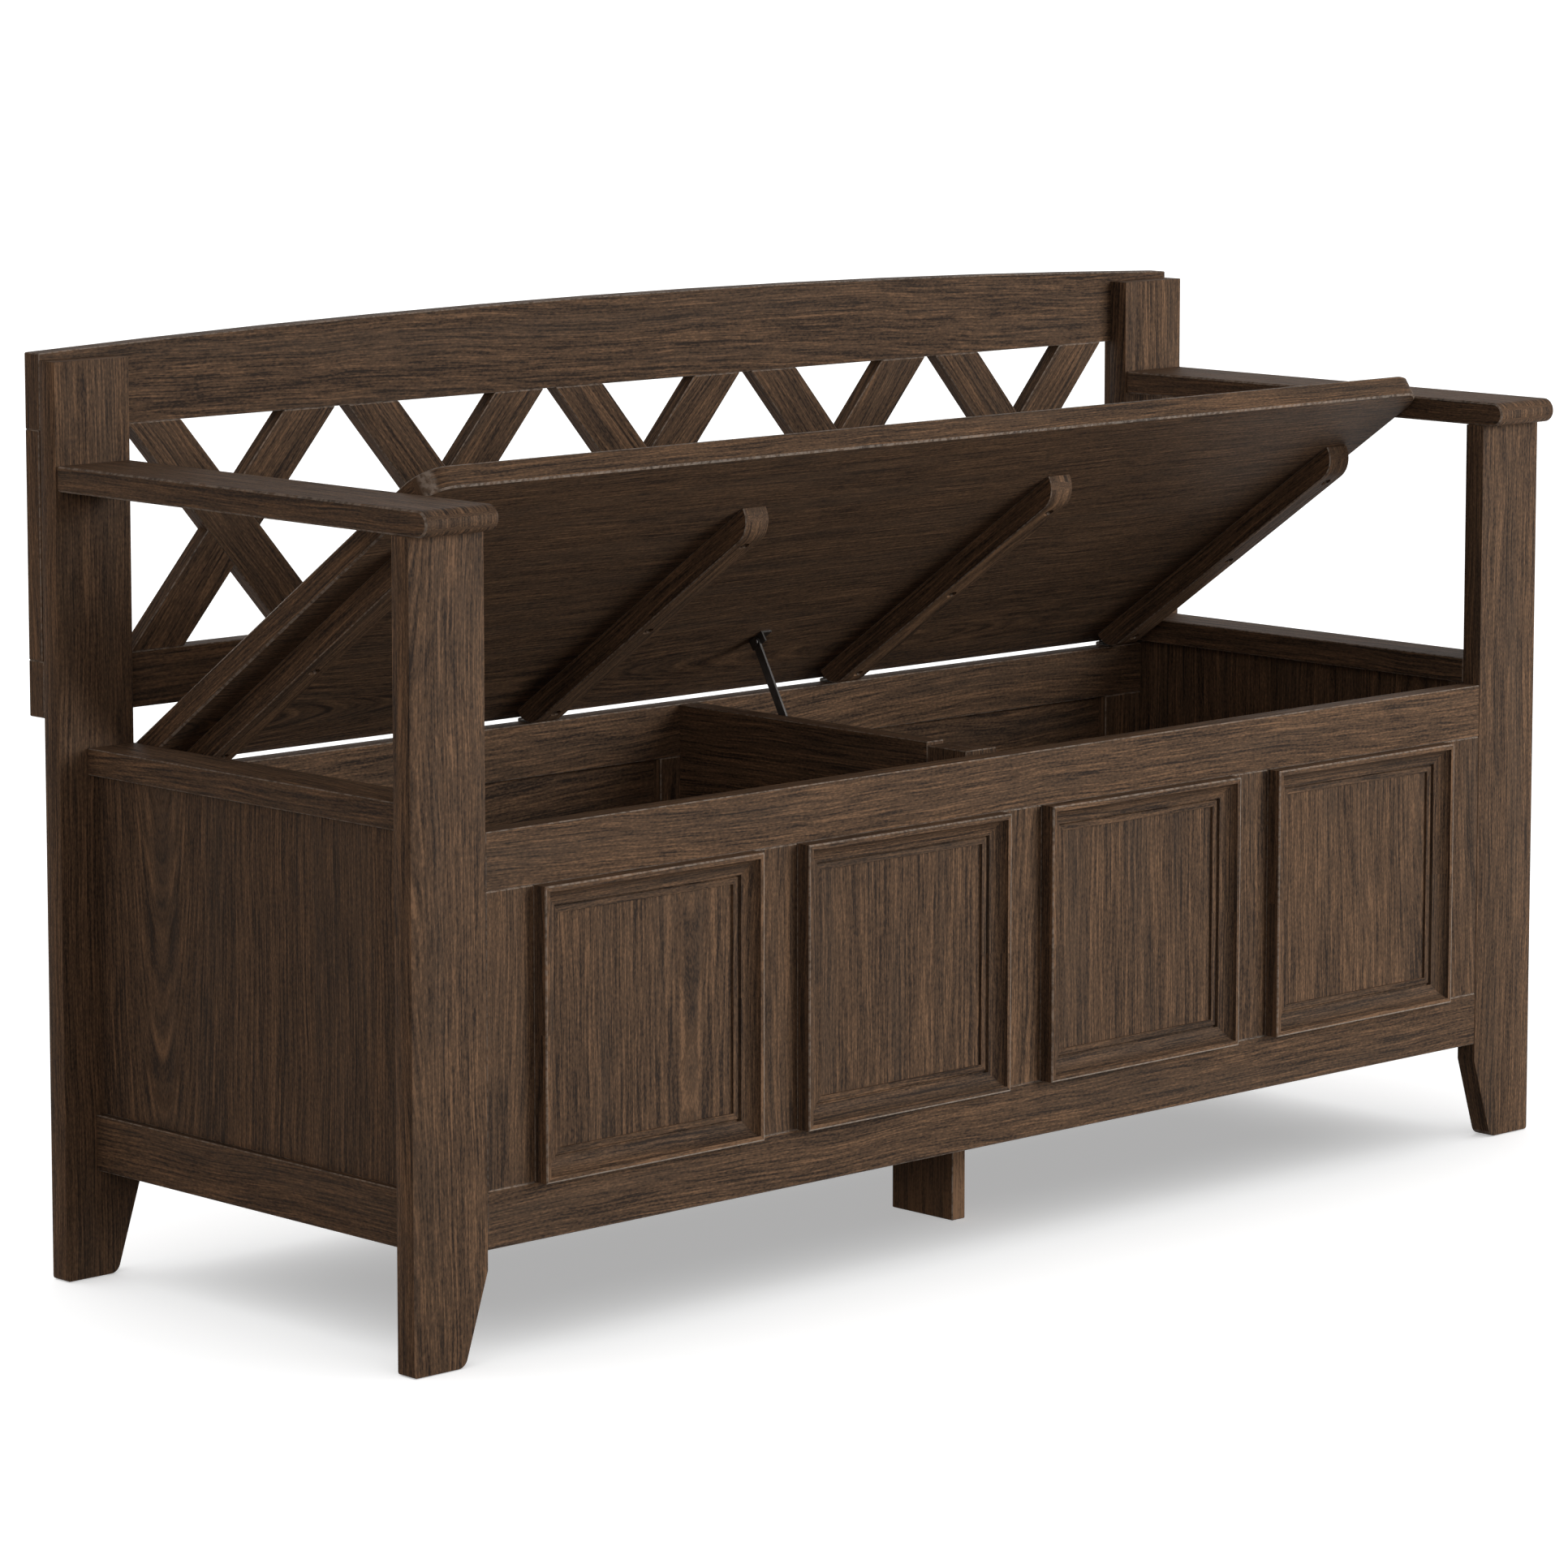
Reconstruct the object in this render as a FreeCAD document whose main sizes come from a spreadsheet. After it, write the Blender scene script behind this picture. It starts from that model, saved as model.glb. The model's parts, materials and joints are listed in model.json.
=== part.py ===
import FreeCAD, Part
import math
import os

import Sketcher

# A settle bench: a storage box with a panelled front, open arms and a latticed back, under a lifting
# lid. X runs across the bench, Y from front to back and Z up. The origin is on the floor, under the
# middle of the bench. The lid stands open, as its folding stay holds it.

# Driving sizes, in millimetres and degrees
SIZES = [
    ("overall_width", 1270, "across the outer faces of the legs"),
    ("box_depth", 399.5, "from the backs of the front legs to the faces of the rear legs"),
    ("board", 19, "thickness of legs, rails, stiles, divider and lid"),
    ("edge_ease", 0.8, "small bevel on the edges of every board"),
    ("leg_width", 72, "width of each leg"),
    ("rear_leg_drop", 5.5, "how far the rear legs end below the ends of the back's top rail"),
    ("foot_height", 70, "height where the taper of the foot starts"),
    ("foot_taper", 22.5, "how far the foot narrows"),
    ("arm_underside", 621, "underside of the arms, where the front legs end"),
    ("arm_thick", 20, "thickness of the arms"),
    ("arm_width", 70, "width of the arms"),
    ("arm_inset", 1, "from the leg's outer face to the arm's"),
    ("arm_ease", 1.5, "bevel on the arm's edges"),
    ("arm_overhang", 19, "how far the arm's nose stands in front of the leg"),
    ("rail_underside", 85, "underside of the lower rails"),
    ("rail_width", 44.5, "height of the front, side and rear rails"),
    ("box_top", 397.8, "top of the front rail, on which the lid rests"),
    ("stile_width", 47, "width of the five stiles of the front"),
    ("panel_thick", 6, "thickness of the front panels"),
    ("moulding_width", 23, "width of the panel moulding"),
    ("moulding_height", 12.9, "how far the moulding stands in front of its panel"),
    ("moulding_band", 4.4, "flat outer band of the moulding"),
    ("moulding_step", 1.5, "step down from the band to the cove"),
    ("moulding_lip", 4.8, "flat inner lip of the moulding"),
    ("moulding_lip_height", 2, "thickness of that lip"),
    ("moulding_bead", 1.7, "width of the bead beside the lip"),
    ("cap_inset", 26.6, "from the leg's outer face to the side cap's"),
    ("cap_thick", 21, "thickness of the side caps"),
    ("cap_rise", 0.5, "from the top of the front rail up to the side caps"),
    ("side_panel_inset", 35.2, "from the leg's outer face to the side panel's"),
    ("side_panel_thick", 15, "thickness of the side panels"),
    ("side_rail_inset", 29.5, "from the leg's outer face to the lower side rail's"),
    ("cleat", 18.8, "thickness of the corner cleats, front and rear"),
    ("cleat_setback", 6, "how far a rear cleat lies behind the face of the rear box frame"),
    ("rear_stile_width", 46, "width of the stiles of the rear box frame"),
    ("rear_panel_thick", 6, "thickness of the rear panels"),
    ("rear_panel_setback", 8, "from the face of the rear box frame to its panels"),
    ("divider_offset", 7.8, "how far the divider's middle lies right of the bench's"),
    ("divider_drop", 2.1, "from the top of the front rail down to the divider's top edge"),
    ("divider_setback", 41.5, "from the back of the front frame to the divider's front end"),
    ("divider_stile_width", 44, "front to back width of the two posts at the divider's front end"),
    ("post_drop", 5, "from the top of the front rail down to the tops of those posts"),
    ("divider_post_thick", 16, "thickness of the post beside the divider"),
    ("floor_rise", 27, "from the underside of the lower rails up to the floor panels"),
    ("floor_thick", 9, "thickness of the floor panels"),
    ("centre_leg_thick", 15, "thickness of the centre leg"),
    ("centre_leg_width", 70, "width of the centre leg, front to back"),
    ("centre_leg_setback", 74, "from the back of the front frame to the centre leg"),
    ("back_rise", 45.4, "from the top of the front rail up to the back frame"),
    ("back_rail_width", 44.2, "height of the back's bottom rail"),
    ("lattice_height", 179.6, "clear height between the rails of the back"),
    ("top_rail_end", 59.5, "width of the back's top rail at its ends"),
    ("top_rail_rise", 13.5, "how far the top rail's crown rises above its ends"),
    ("back_stile_width", 60, "width of the stiles of the back"),
    ("back_stile_setback", 2, "how far these stiles lie behind the face of the rails"),
    ("slat_width", 40, "width of the lattice slats"),
    ("slat_thick", 14, "thickness of the lattice slats"),
    ("slat_gap", 13, "gap between the ends of slats of neighbouring crossings"),
    ("crossing_inset", 129.5, "from a stile of the back to the middle of the outermost crossing"),
    ("lid_overhang", 15.94, "how far the closed lid reaches in front of the front legs"),
    ("lid_side_gap", 2.5, "gap between the lid and each leg"),
    ("lid_corner", 25, "radius of the lid's front corners"),
    ("lid_edge", 1.5, "bevel on the lid's edges"),
    ("lid_rest_gap", 0.3, "clearance between the closed lid and the front rail"),
    ("lid_rear_gap", 1.9, "from the hinge axis to the rear edge of the lid"),
    ("open_angle", 34.85, "how far the lid stands open"),
    ("batten_width", 25, "width of the battens under the lid"),
    ("batten_thick", 20, "thickness of these battens, and the radius of their ends"),
    ("batten_setback", 84.09, "from the lid's front edge to the battens"),
    ("batten_inset", 41.5, "from the lid's sides to the middles of the outer battens, before the offset"),
    ("batten_offset", 5, "how far the row of battens lies right of the lid's middle"),
    ("batten_clearance", 0.35, "from the rear rail to the battens, with the lid closed"),
    ("screw_inset", 28.5, "from the ends of a batten to its outer screws"),
    ("screw_radius", 1.8, "radius of a screw's shank"),
    ("screw_head", 3.6, "radius of a screw's head"),
    ("screw_head_height", 2.4, "height of a screw's head"),
    ("screw_bite", 10, "how deep a screw goes into the lid"),
    ("counterbore", 4.5, "radius of the hole that sinks the screw's head"),
    ("counterbore_depth", 8, "depth of that hole"),
    ("fit_clearance", 0.05, "clearance round a pin or a shank in its hole"),
    ("hinge_length", 30, "length of a hinge"),
    ("hinge_offset", 18, "from the middle of a batten to the middle of the hinge behind it"),
    ("leaf_thick", 1, "thickness of a hinge leaf"),
    ("leaf_width", 12, "width of a hinge leaf, outside the knuckle"),
    ("leaf_play", 0.1, "gap between the closed leaves"),
    ("knuckle_radius", 2, "outer radius of the hinge knuckle"),
    ("knuckle_root", 1.2, "from the hinge axis to where a leaf runs into its knuckle"),
    ("knuckle_gap", 0.3, "gap between the knuckle and what it passes"),
    ("hinge_pin_radius", 0.9, "radius of the hinge pin"),
    ("hinge_inset", 1.54, "from the back of the rear box frame to the hinge axis"),
    ("stay_bar_width", 8, "width of the stay's arms"),
    ("stay_bar_thick", 2, "thickness of the stay's arms"),
    ("stay_pin_radius", 2, "radius of the stay's pins"),
    ("stay_head_radius", 3.6, "radius of the heads of these pins"),
    ("stay_head_thick", 1, "thickness of the heads of these pins"),
    ("stay_gap", 0.3, "gap between the stay's moving faces, and round its open elbow"),
    ("stay_reach", 104.6, "from the hinge axis to the stay's pin in the lid, along the lid"),
    ("stay_drop", 4, "how far that pin lies below the hinge axis, with the lid closed"),
    ("stay_length", 180, "length of the upper arm between its pins"),
    ("stay_slope", 61, "slope of the upper arm, which stays the same as the lid moves"),
    ("stay_plate_thick", 1.6, "thickness of the stay's plate and bracket"),
    ("stay_plate_width", 16, "width of the stay's plate"),
    ("stay_plate_length", 44, "length of the stay's plate"),
    ("stay_boss_radius", 4.5, "radius of the boss that carries the lower arm"),
    ("bracket_length", 18, "length of the stay's bracket on the lid"),
    ("bracket_flange", 10, "width of the bracket's flange"),
    ("bracket_ear", 4, "how far the bracket's ear reaches past its pin"),
]

# How many of each repeated piece
PANELS = 4
CROSSINGS = 5
BATTENS = 4
BATTEN_SCREWS = 3

doc = FreeCAD.newDocument("SettleBench")
sheet = doc.addObject("Spreadsheet::Sheet", "Sizes")
for row, (alias, number, meaning) in enumerate(SIZES, start=1):
    sheet.set(f"A{row}", meaning)
    sheet.set(f"B{row}", str(number))
    sheet.setAlias(f"B{row}", alias)
doc.recompute()


class Size:
    """A length or angle: its number now, and the formula that ties it to the sheet."""

    def __init__(self, number, formula=None):
        self.number = number
        self.formula = str(number) if formula is None else formula

    def joined(self, sign, other, number):
        return Size(number, f"({self.formula} {sign} {other.formula})")

    def __add__(self, other):
        other = as_size(other)
        return self.joined("+", other, self.number + other.number)

    def __sub__(self, other):
        other = as_size(other)
        return self.joined("-", other, self.number - other.number)

    def __mul__(self, other):
        other = as_size(other)
        return self.joined("*", other, self.number * other.number)

    def __truediv__(self, other):
        other = as_size(other)
        return self.joined("/", other, self.number / other.number)

    def __neg__(self):
        return Size(-self.number, f"(-1 * {self.formula})")

    __radd__ = __add__
    __rmul__ = __mul__


def as_size(value):
    return value if isinstance(value, Size) else Size(value)


def sine(angle):
    return Size(math.sin(math.radians(angle.number)), f"sin({angle.formula} * 1 deg)")


def cosine(angle):
    return Size(math.cos(math.radians(angle.number)), f"cos({angle.formula} * 1 deg)")


def arc_tangent(rise, run):
    return Size(math.degrees(math.atan2(rise.number, run.number)),
                f"(atan2({rise.formula}; {run.formula}) / 1 deg)")


def arc_sine(share):
    return Size(math.degrees(math.asin(share.number)), f"(asin({share.formula}) / 1 deg)")


def square_root(area):
    return Size(math.sqrt(area.number), f"sqrt({area.formula})")


def cell(alias):
    """The size that a cell of the sheet holds."""
    return Size(float(sheet.get(alias)), f"Sizes.{alias}")


size = {alias: cell(alias) for alias, number, meaning in SIZES}
zero = Size(0)

# Places across the bench
board = size["board"]
leg_outer = size["overall_width"] / 2
leg_inner = leg_outer - size["leg_width"]

# Places from front to back
overall_depth = size["arm_overhang"] + size["box_depth"] + 3 * board
leg_front = size["arm_overhang"] - overall_depth / 2
box_front = leg_front + board
rear_leg_front = box_front + size["box_depth"]
rear_leg_back = rear_leg_front + board
rear_box_front = rear_leg_front - board
divider_front = box_front + size["divider_setback"]
divider_stile_back = divider_front + size["divider_stile_width"]

# Heights
lower_rail_top = size["rail_underside"] + size["rail_width"]
upper_rail_underside = size["box_top"] - size["rail_width"]
floor_underside = size["rail_underside"] + size["floor_rise"]
floor_top = floor_underside + size["floor_thick"]
cap_underside = size["box_top"] + size["cap_rise"]
lid_underside = size["box_top"] + size["lid_rest_gap"]
rear_rail_top = lid_underside - 2 * size["leaf_thick"] - size["leaf_play"]
rear_rail_underside = rear_rail_top - size["rail_width"]
back_underside = size["box_top"] + size["back_rise"]
lattice_bottom = back_underside + size["back_rail_width"]
lattice_top = lattice_bottom + size["lattice_height"]
rear_leg_top = lattice_top + size["top_rail_end"] - size["rear_leg_drop"]

# The hinge axis, and how far the lid's underside lies above it when closed
hinge_y = rear_leg_front - size["hinge_inset"]
hinge_z = rear_rail_top + size["leaf_thick"] + size["leaf_play"] / 2
lid_rise = lid_underside - hinge_z

X_AXIS = FreeCAD.Vector(1, 0, 0)
Y_AXIS = FreeCAD.Vector(0, 1, 0)
subparts = []


def keep(item, label):
    """Name a finished sub-part and put it on the list that is written out."""
    item.Label = label
    subparts.append(item)
    return item


def origin_plane(body, role):
    return next(feature for feature in body.Origin.OriginFeatures if feature.Role == role)


def new_sketch(body, role, start):
    """A sketch on one of the body's own planes, moved out by start towards +X, +Y or +Z."""
    sketch = body.newObject("Sketcher::SketchObject", body.Name + "Sketch")
    sketch.AttachmentSupport = (origin_plane(body, role), [""])
    sketch.MapMode = "FlatFace"
    outward = -start if role == "XZ_Plane" else start
    sketch.setExpression("AttachmentOffset.Base.z", outward.formula)
    return sketch


def tie(sketch, kind, place, value):
    """Add one constraint and bind its value to the sheet."""
    index = sketch.addConstraint(Sketcher.Constraint(kind, *place, value.number))
    sketch.setExpression(f"Constraints[{index}]", value.formula)


def arc_between(first, last, radius):
    """The arc of that radius between two points. It bulges right of the way from first to last."""
    middle = (first + last) / 2
    half = (last - first) / 2
    rise = math.sqrt(max(radius * radius - half.Length ** 2, 0))
    left = FreeCAD.Vector(-half.y, half.x, 0).normalize()
    if radius < 0:
        left = -left
    centre = middle + left * rise
    top = centre - left * abs(radius)
    return Part.Arc(first, top, last)


def add_outline(sketch, corners):
    """Draw a closed outline of corners (across, up), or (across, up, radius) where an arc starts.

    A radius below zero hollows the side instead of rounding it.
    """
    points = [FreeCAD.Vector(corner[0].number, corner[1].number, 0) for corner in corners]
    sides = []
    for step, corner in enumerate(corners):
        first = points[step]
        last = points[(step + 1) % len(points)]
        side = arc_between(first, last, corner[2].number) if len(corner) > 2 else None
        index = sketch.addGeometry(side or Part.LineSegment(first, last), False)
        starts_first = (sketch.Geometry[index].StartPoint - first).Length < 1e-6
        sides.append((index, 1, 2) if starts_first else (index, 2, 1))
    for step, (index, first_end, last_end) in enumerate(sides):
        following, next_end, unused = sides[(step + 1) % len(sides)]
        sketch.addConstraint(Sketcher.Constraint("Coincident", index, last_end, following, next_end))
    for corner, (index, first_end, last_end) in zip(corners, sides):
        tie(sketch, "DistanceX", (-1, 1, index, first_end), corner[0])
        tie(sketch, "DistanceY", (-1, 1, index, first_end), corner[1])
        if len(corner) > 2:
            tie(sketch, "Radius", (index,), corner[2] if corner[2].number > 0 else -corner[2])


def add_circle(sketch, across, up, radius):
    centre = FreeCAD.Vector(across.number, up.number, 0)
    index = sketch.addGeometry(Part.Circle(centre, FreeCAD.Vector(0, 0, 1), radius.number), False)
    tie(sketch, "DistanceX", (-1, 1, index, 3), across)
    tie(sketch, "DistanceY", (-1, 1, index, 3), up)
    tie(sketch, "Radius", (index,), radius)


def add_pad(body, role, start, thickness, corners=None, circles=()):
    """Thicken an outline and its circles by thickness, from start on, towards +X, +Y or +Z."""
    sketch = new_sketch(body, role, start)
    if corners:
        add_outline(sketch, corners)
    for circle in circles:
        add_circle(sketch, *circle)
    pad = body.newObject("PartDesign::Pad", body.Name + "Pad")
    pad.Profile = sketch
    pad.Reversed = role == "XZ_Plane"
    pad.setExpression("Length", thickness.formula)
    return pad


def add_pocket(body, role, start, depth, corners=None, circles=()):
    """Cut an outline and its circles by depth, from start on, towards +X, +Y or +Z."""
    sketch = new_sketch(body, role, start)
    if corners:
        add_outline(sketch, corners)
    for circle in circles:
        add_circle(sketch, *circle)
    doc.recompute()
    before = body.Shape.Volume
    pocket = body.newObject("PartDesign::Pocket", body.Name + "Pocket")
    pocket.Profile = sketch
    pocket.Reversed = role != "XZ_Plane"
    pocket.setExpression("Length", depth.formula)
    doc.recompute()
    if body.Shape.Volume >= before:
        raise RuntimeError(f"{body.Name}: a pocket cuts nothing")
    return pocket


def add_ease(body, amount):
    """Bevel every edge that the body has so far."""
    last = body.Tip
    ease = body.newObject("PartDesign::Chamfer", body.Name + "Ease")
    ease.Base = (last, [])
    ease.UseAllEdges = True
    ease.setExpression("Size", amount.formula)
    return ease


def place(item, x, y, z, axis=None, angle=None):
    """Bind where an item stands, and how far it is turned about an axis."""
    if axis is not None:
        item.Placement = FreeCAD.Placement(FreeCAD.Vector(), FreeCAD.Rotation(axis, angle.number))
        item.setExpression("Placement.Rotation.Angle", f"{angle.formula} * 1 deg")
    item.setExpression("Placement.Base.x", x.formula)
    item.setExpression("Placement.Base.y", y.formula)
    item.setExpression("Placement.Base.z", z.formula)


def on_lid(x, along, up):
    """A place on the open lid, from its place (x, along, up) from the hinge axis when closed."""
    turn = size["open_angle"]
    y = hinge_y + along * cosine(turn) + up * sine(turn)
    z = hinge_z - along * sine(turn) + up * cosine(turn)
    return x, y, z


def put_on_lid(item, x, along, up):
    place(item, *on_lid(x, along, up), axis=X_AXIS, angle=-size["open_angle"])


def rectangle(width, depth):
    return [(zero, zero), (width, zero), (width, depth), (zero, depth)]


def box_body(name, width, depth, height):
    """A board with its corner at its own origin."""
    body = doc.addObject("PartDesign::Body", name)
    add_pad(body, "XY_Plane", zero, height, rectangle(width, depth))
    add_ease(body, size["edge_ease"])
    return body


def add_board(label, low, high):
    """A board between two opposite corners of the bench's frame, given as (x, y, z)."""
    width, depth, height = (upper - lower for lower, upper in zip(low, high))
    body = box_body(label, width, depth, height)
    place(body, *low)
    return body


def compound(label, items):
    """A node of several like pieces, each a solid of its own."""
    group = doc.addObject("Part::Compound", label)
    group.Links = items
    return keep(group, label)


# Legs, each with its foot tapered on the inner side
def leg(label, side, height, y):
    body = doc.addObject("PartDesign::Body", label)
    width = size["leg_width"]
    corners = [
        (zero, zero),
        (-side * (width - size["foot_taper"]), zero),
        (-side * width, size["foot_height"]),
        (-side * width, height),
        (zero, height),
    ]
    add_pad(body, "XZ_Plane", zero, board, corners)
    add_ease(body, size["edge_ease"])
    place(body, side * leg_outer, y, zero)
    keep(body, label)


LEFT = Size(-1)
RIGHT = Size(1)
SIDES = (("left", LEFT), ("right", RIGHT))
for word, side in SIDES:
    leg(f"front_leg_{word}", side, size["arm_underside"], leg_front)
    leg(f"rear_leg_{word}", side, rear_leg_top, rear_leg_front)


# Arms, with a rounded nose in front of the leg
def arm(label, side):
    body = doc.addObject("PartDesign::Body", label)
    length = size["arm_overhang"] + board + size["box_depth"]
    radius = size["arm_thick"] / 2
    corners = [
        (radius, zero),
        (length, zero),
        (length, size["arm_thick"]),
        (radius, size["arm_thick"], radius),
        (zero, radius, radius),
    ]
    add_pad(body, "YZ_Plane", zero, size["arm_width"], corners)
    add_ease(body, size["arm_ease"])
    outer = leg_outer - size["arm_inset"]
    x = -outer if side is LEFT else outer - size["arm_width"]
    place(body, x, leg_front - size["arm_overhang"], size["arm_underside"])
    keep(body, label)


for word, side in SIDES:
    arm(f"armrest_{word}", side)

# Front frame: two rails between the legs, and five stiles between the rails
keep(add_board("front_bottom_rail", (-leg_inner, leg_front, size["rail_underside"]),
               (leg_inner, box_front, lower_rail_top)), "front_bottom_rail")
keep(add_board("front_top_rail", (-leg_inner, leg_front, upper_rail_underside),
               (leg_inner, box_front, size["box_top"])), "front_top_rail")

opening_width = (2 * leg_inner - (PANELS + 1) * size["stile_width"]) / PANELS
opening_height = upper_rail_underside - lower_rail_top
bay = opening_width + size["stile_width"]
for number in range(PANELS + 1):
    x = number * bay - leg_inner
    low = (x, leg_front, lower_rail_top)
    high = (x + size["stile_width"], box_front, upper_rail_underside)
    label = f"front_stile_{number + 1}"
    keep(add_board(label, low, high), label)


# Panel mouldings: four strips round each panel, mitred at the corners
def moulding_profile():
    """The strip's section, from its outer edge inwards and from its back to the front."""
    height = size["moulding_height"]
    cove_top = height - size["moulding_step"]
    lip_start = size["moulding_width"] - size["moulding_lip"]
    lip = size["moulding_lip_height"]
    bead = size["moulding_bead"]
    cove_bottom = lip + bead
    cove_width = lip_start - bead - size["moulding_band"]
    cove_drop = cove_top - cove_bottom
    cove_radius = (cove_width * cove_width + cove_drop * cove_drop) / (2 * cove_drop)
    return [
        (size["edge_ease"] - height, zero),
        (-height, size["edge_ease"]),
        (-height, size["moulding_band"]),
        (-cove_top, size["moulding_band"], cove_radius),
        (-cove_bottom, lip_start - bead, -bead),
        (-lip, lip_start),
        (-lip, size["moulding_width"]),
        (zero, size["moulding_width"]),
        (zero, zero),
    ]


def moulding_strip(name, length):
    """One strip, its outer edge along X through its own origin, its ends cut to a mitre."""
    body = doc.addObject("PartDesign::Body", name)
    add_pad(body, "YZ_Plane", -length / 2, length, moulding_profile())
    width = size["moulding_width"]
    for side in (LEFT, RIGHT):
        end = side * length / 2
        wedge = [(end, zero), (end, width), (end - side * width, width)]
        add_pocket(body, "XZ_Plane", -size["moulding_height"], size["moulding_height"], wedge)
    return body


def panel_moulding(label, left, bottom):
    strips = []
    middle_x = left + opening_width / 2
    middle_z = bottom + opening_height / 2
    edges = (
        ("bottom", opening_width, middle_x, bottom, Size(0)),
        ("top", opening_width, middle_x, bottom + opening_height, Size(180)),
        ("left", opening_height, left, middle_z, Size(90)),
        ("right", opening_height, left + opening_width, middle_z, Size(270)),
    )
    for word, length, x, z, angle in edges:
        strip = moulding_strip(f"{label}_{word}", length)
        place(strip, x, leg_front, z, axis=Y_AXIS, angle=angle)
        strips.append(strip)
    compound(label, strips)


for number in range(PANELS):
    left = number * bay - leg_inner + size["stile_width"]
    low = (left, leg_front, lower_rail_top)
    high = (left + opening_width, leg_front + size["panel_thick"], upper_rail_underside)
    label = f"front_panel_{number + 1}"
    keep(add_board(label, low, high), label)
    panel_moulding(f"panel_moulding_{number + 1}", left, lower_rail_top)


# Sides of the box, between the front and rear legs
def across(side, outer_inset, thickness):
    """Where a board that stands on edge at one side starts and ends along X."""
    outer = leg_outer - outer_inset
    inner = outer - thickness
    return (-outer, -inner) if side is LEFT else (inner, outer)


for word, side in SIDES:
    parts = (
        ("side_cap", "cap_inset", size["leg_width"] - size["cap_inset"], cap_underside,
         cap_underside + size["cap_thick"]),
        ("side_panel", "side_panel_inset", size["side_panel_thick"], lower_rail_top,
         cap_underside),
        ("side_bottom_rail", "side_rail_inset", board, size["rail_underside"], lower_rail_top),
    )
    for stem, inset, thickness, bottom, top in parts:
        start, end = across(side, size[inset], thickness)
        label = f"{stem}_{word}"
        keep(add_board(label, (start, box_front, bottom), (end, rear_leg_front, top)), label)

# Rear box frame, in front of the rear legs, with gains cut for the hinge knuckles
side_panel_inner = leg_outer - size["side_panel_inset"] - size["side_panel_thick"]
rear_frame_end = side_panel_inner - size["cleat"]
keep(add_board("rear_bottom_rail", (-rear_frame_end, rear_box_front, size["rail_underside"]),
               (rear_frame_end, rear_leg_front, lower_rail_top)), "rear_bottom_rail")

lid_half = leg_inner - size["lid_side_gap"]
batten_pitch = 2 * (lid_half - size["batten_inset"]) / (BATTENS - 1)
batten_middles = []
hinge_middles = []
for number in range(BATTENS):
    middle = (number - (BATTENS - 1) / 2) * batten_pitch + size["batten_offset"]
    batten_middles.append(middle)
    hinge_middles.append(middle + size["hinge_offset"])

rear_top_rail = box_body("rear_top_rail", 2 * rear_frame_end, board, size["rail_width"])
place(rear_top_rail, -rear_frame_end, rear_box_front, rear_rail_underside)
gain_width = size["knuckle_radius"] + size["knuckle_gap"] + size["hinge_inset"]
gain_depth = size["knuckle_radius"] + size["knuckle_gap"] - size["leaf_thick"] - size["leaf_play"] / 2
gain_half = size["hinge_length"] / 2 + size["knuckle_gap"]
for middle in hinge_middles:
    start = middle - gain_half + rear_frame_end
    end = middle + gain_half + rear_frame_end
    corners = [(start, board - gain_width), (end, board - gain_width), (end, board), (start, board)]
    add_pocket(rear_top_rail, "XY_Plane", size["rail_width"] - gain_depth, gain_depth, corners)
keep(rear_top_rail, "rear_top_rail")

rear_stiles = []
rear_panels = []
half_stile = size["rear_stile_width"] / 2
stile_middles = (half_stile - rear_frame_end, zero, rear_frame_end - half_stile)
for number, middle in enumerate(stile_middles, start=1):
    low = (middle - half_stile, rear_box_front, lower_rail_top)
    high = (middle + half_stile, rear_leg_front, rear_rail_underside)
    rear_stiles.append(add_board(f"rear_stile_{number}", low, high))
compound("rear_box_stiles", rear_stiles)
for number, (before, after) in enumerate(zip(stile_middles, stile_middles[1:]), start=1):
    front = rear_box_front + size["rear_panel_setback"]
    low = (before + half_stile, front, lower_rail_top)
    high = (after - half_stile, front + size["rear_panel_thick"], rear_rail_underside)
    rear_panels.append(add_board(f"rear_panel_{number}", low, high))
compound("rear_box_panels", rear_panels)

# Floor of the box on its bearers, and the cleats in the four corners above it
divider_left = size["divider_offset"] - board / 2
divider_right = size["divider_offset"] + board / 2
floor_half = leg_outer - size["side_rail_inset"] - board
floor_low = (-floor_half, box_front, floor_underside)
floor_joint = (size["divider_offset"], rear_box_front, floor_top)
floor_left = add_board("floor_left", floor_low, floor_joint)
floor_right = add_board("floor_right", (size["divider_offset"], box_front, floor_underside),
                        (floor_half, rear_box_front, floor_top))
compound("floor_panels", [floor_left, floor_right])

bearer_reach = box_front + board
bearer_front = add_board("bearer_front", (-leg_inner, box_front, size["rail_underside"]),
                         (leg_inner, bearer_reach, floor_underside))
bearer_rear = add_board("bearer_rear", (-rear_frame_end, rear_box_front - board, size["rail_underside"]),
                        (rear_frame_end, rear_box_front, floor_underside))
bearer_middle = add_board("bearer_middle", (divider_left, bearer_reach, size["rail_underside"]),
                          (divider_right, rear_box_front - board, floor_underside))
bearers = [bearer_front, bearer_rear, bearer_middle]

cleats = []
cleat_ends = (
    ("front", box_front, box_front + size["cleat"], cap_underside),
    ("rear", rear_box_front + size["cleat_setback"], rear_leg_front, rear_rail_top),
)
for word, side in SIDES:
    start, end = across(side, leg_outer - side_panel_inner, size["cleat"])
    for place_word, front, back, top in cleat_ends:
        name = f"cleat_{place_word}_{word}"
        cleats.append(add_board(name, (start, front, floor_top), (end, back, top)))
compound("cleats_and_bearers", cleats + bearers)

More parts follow.
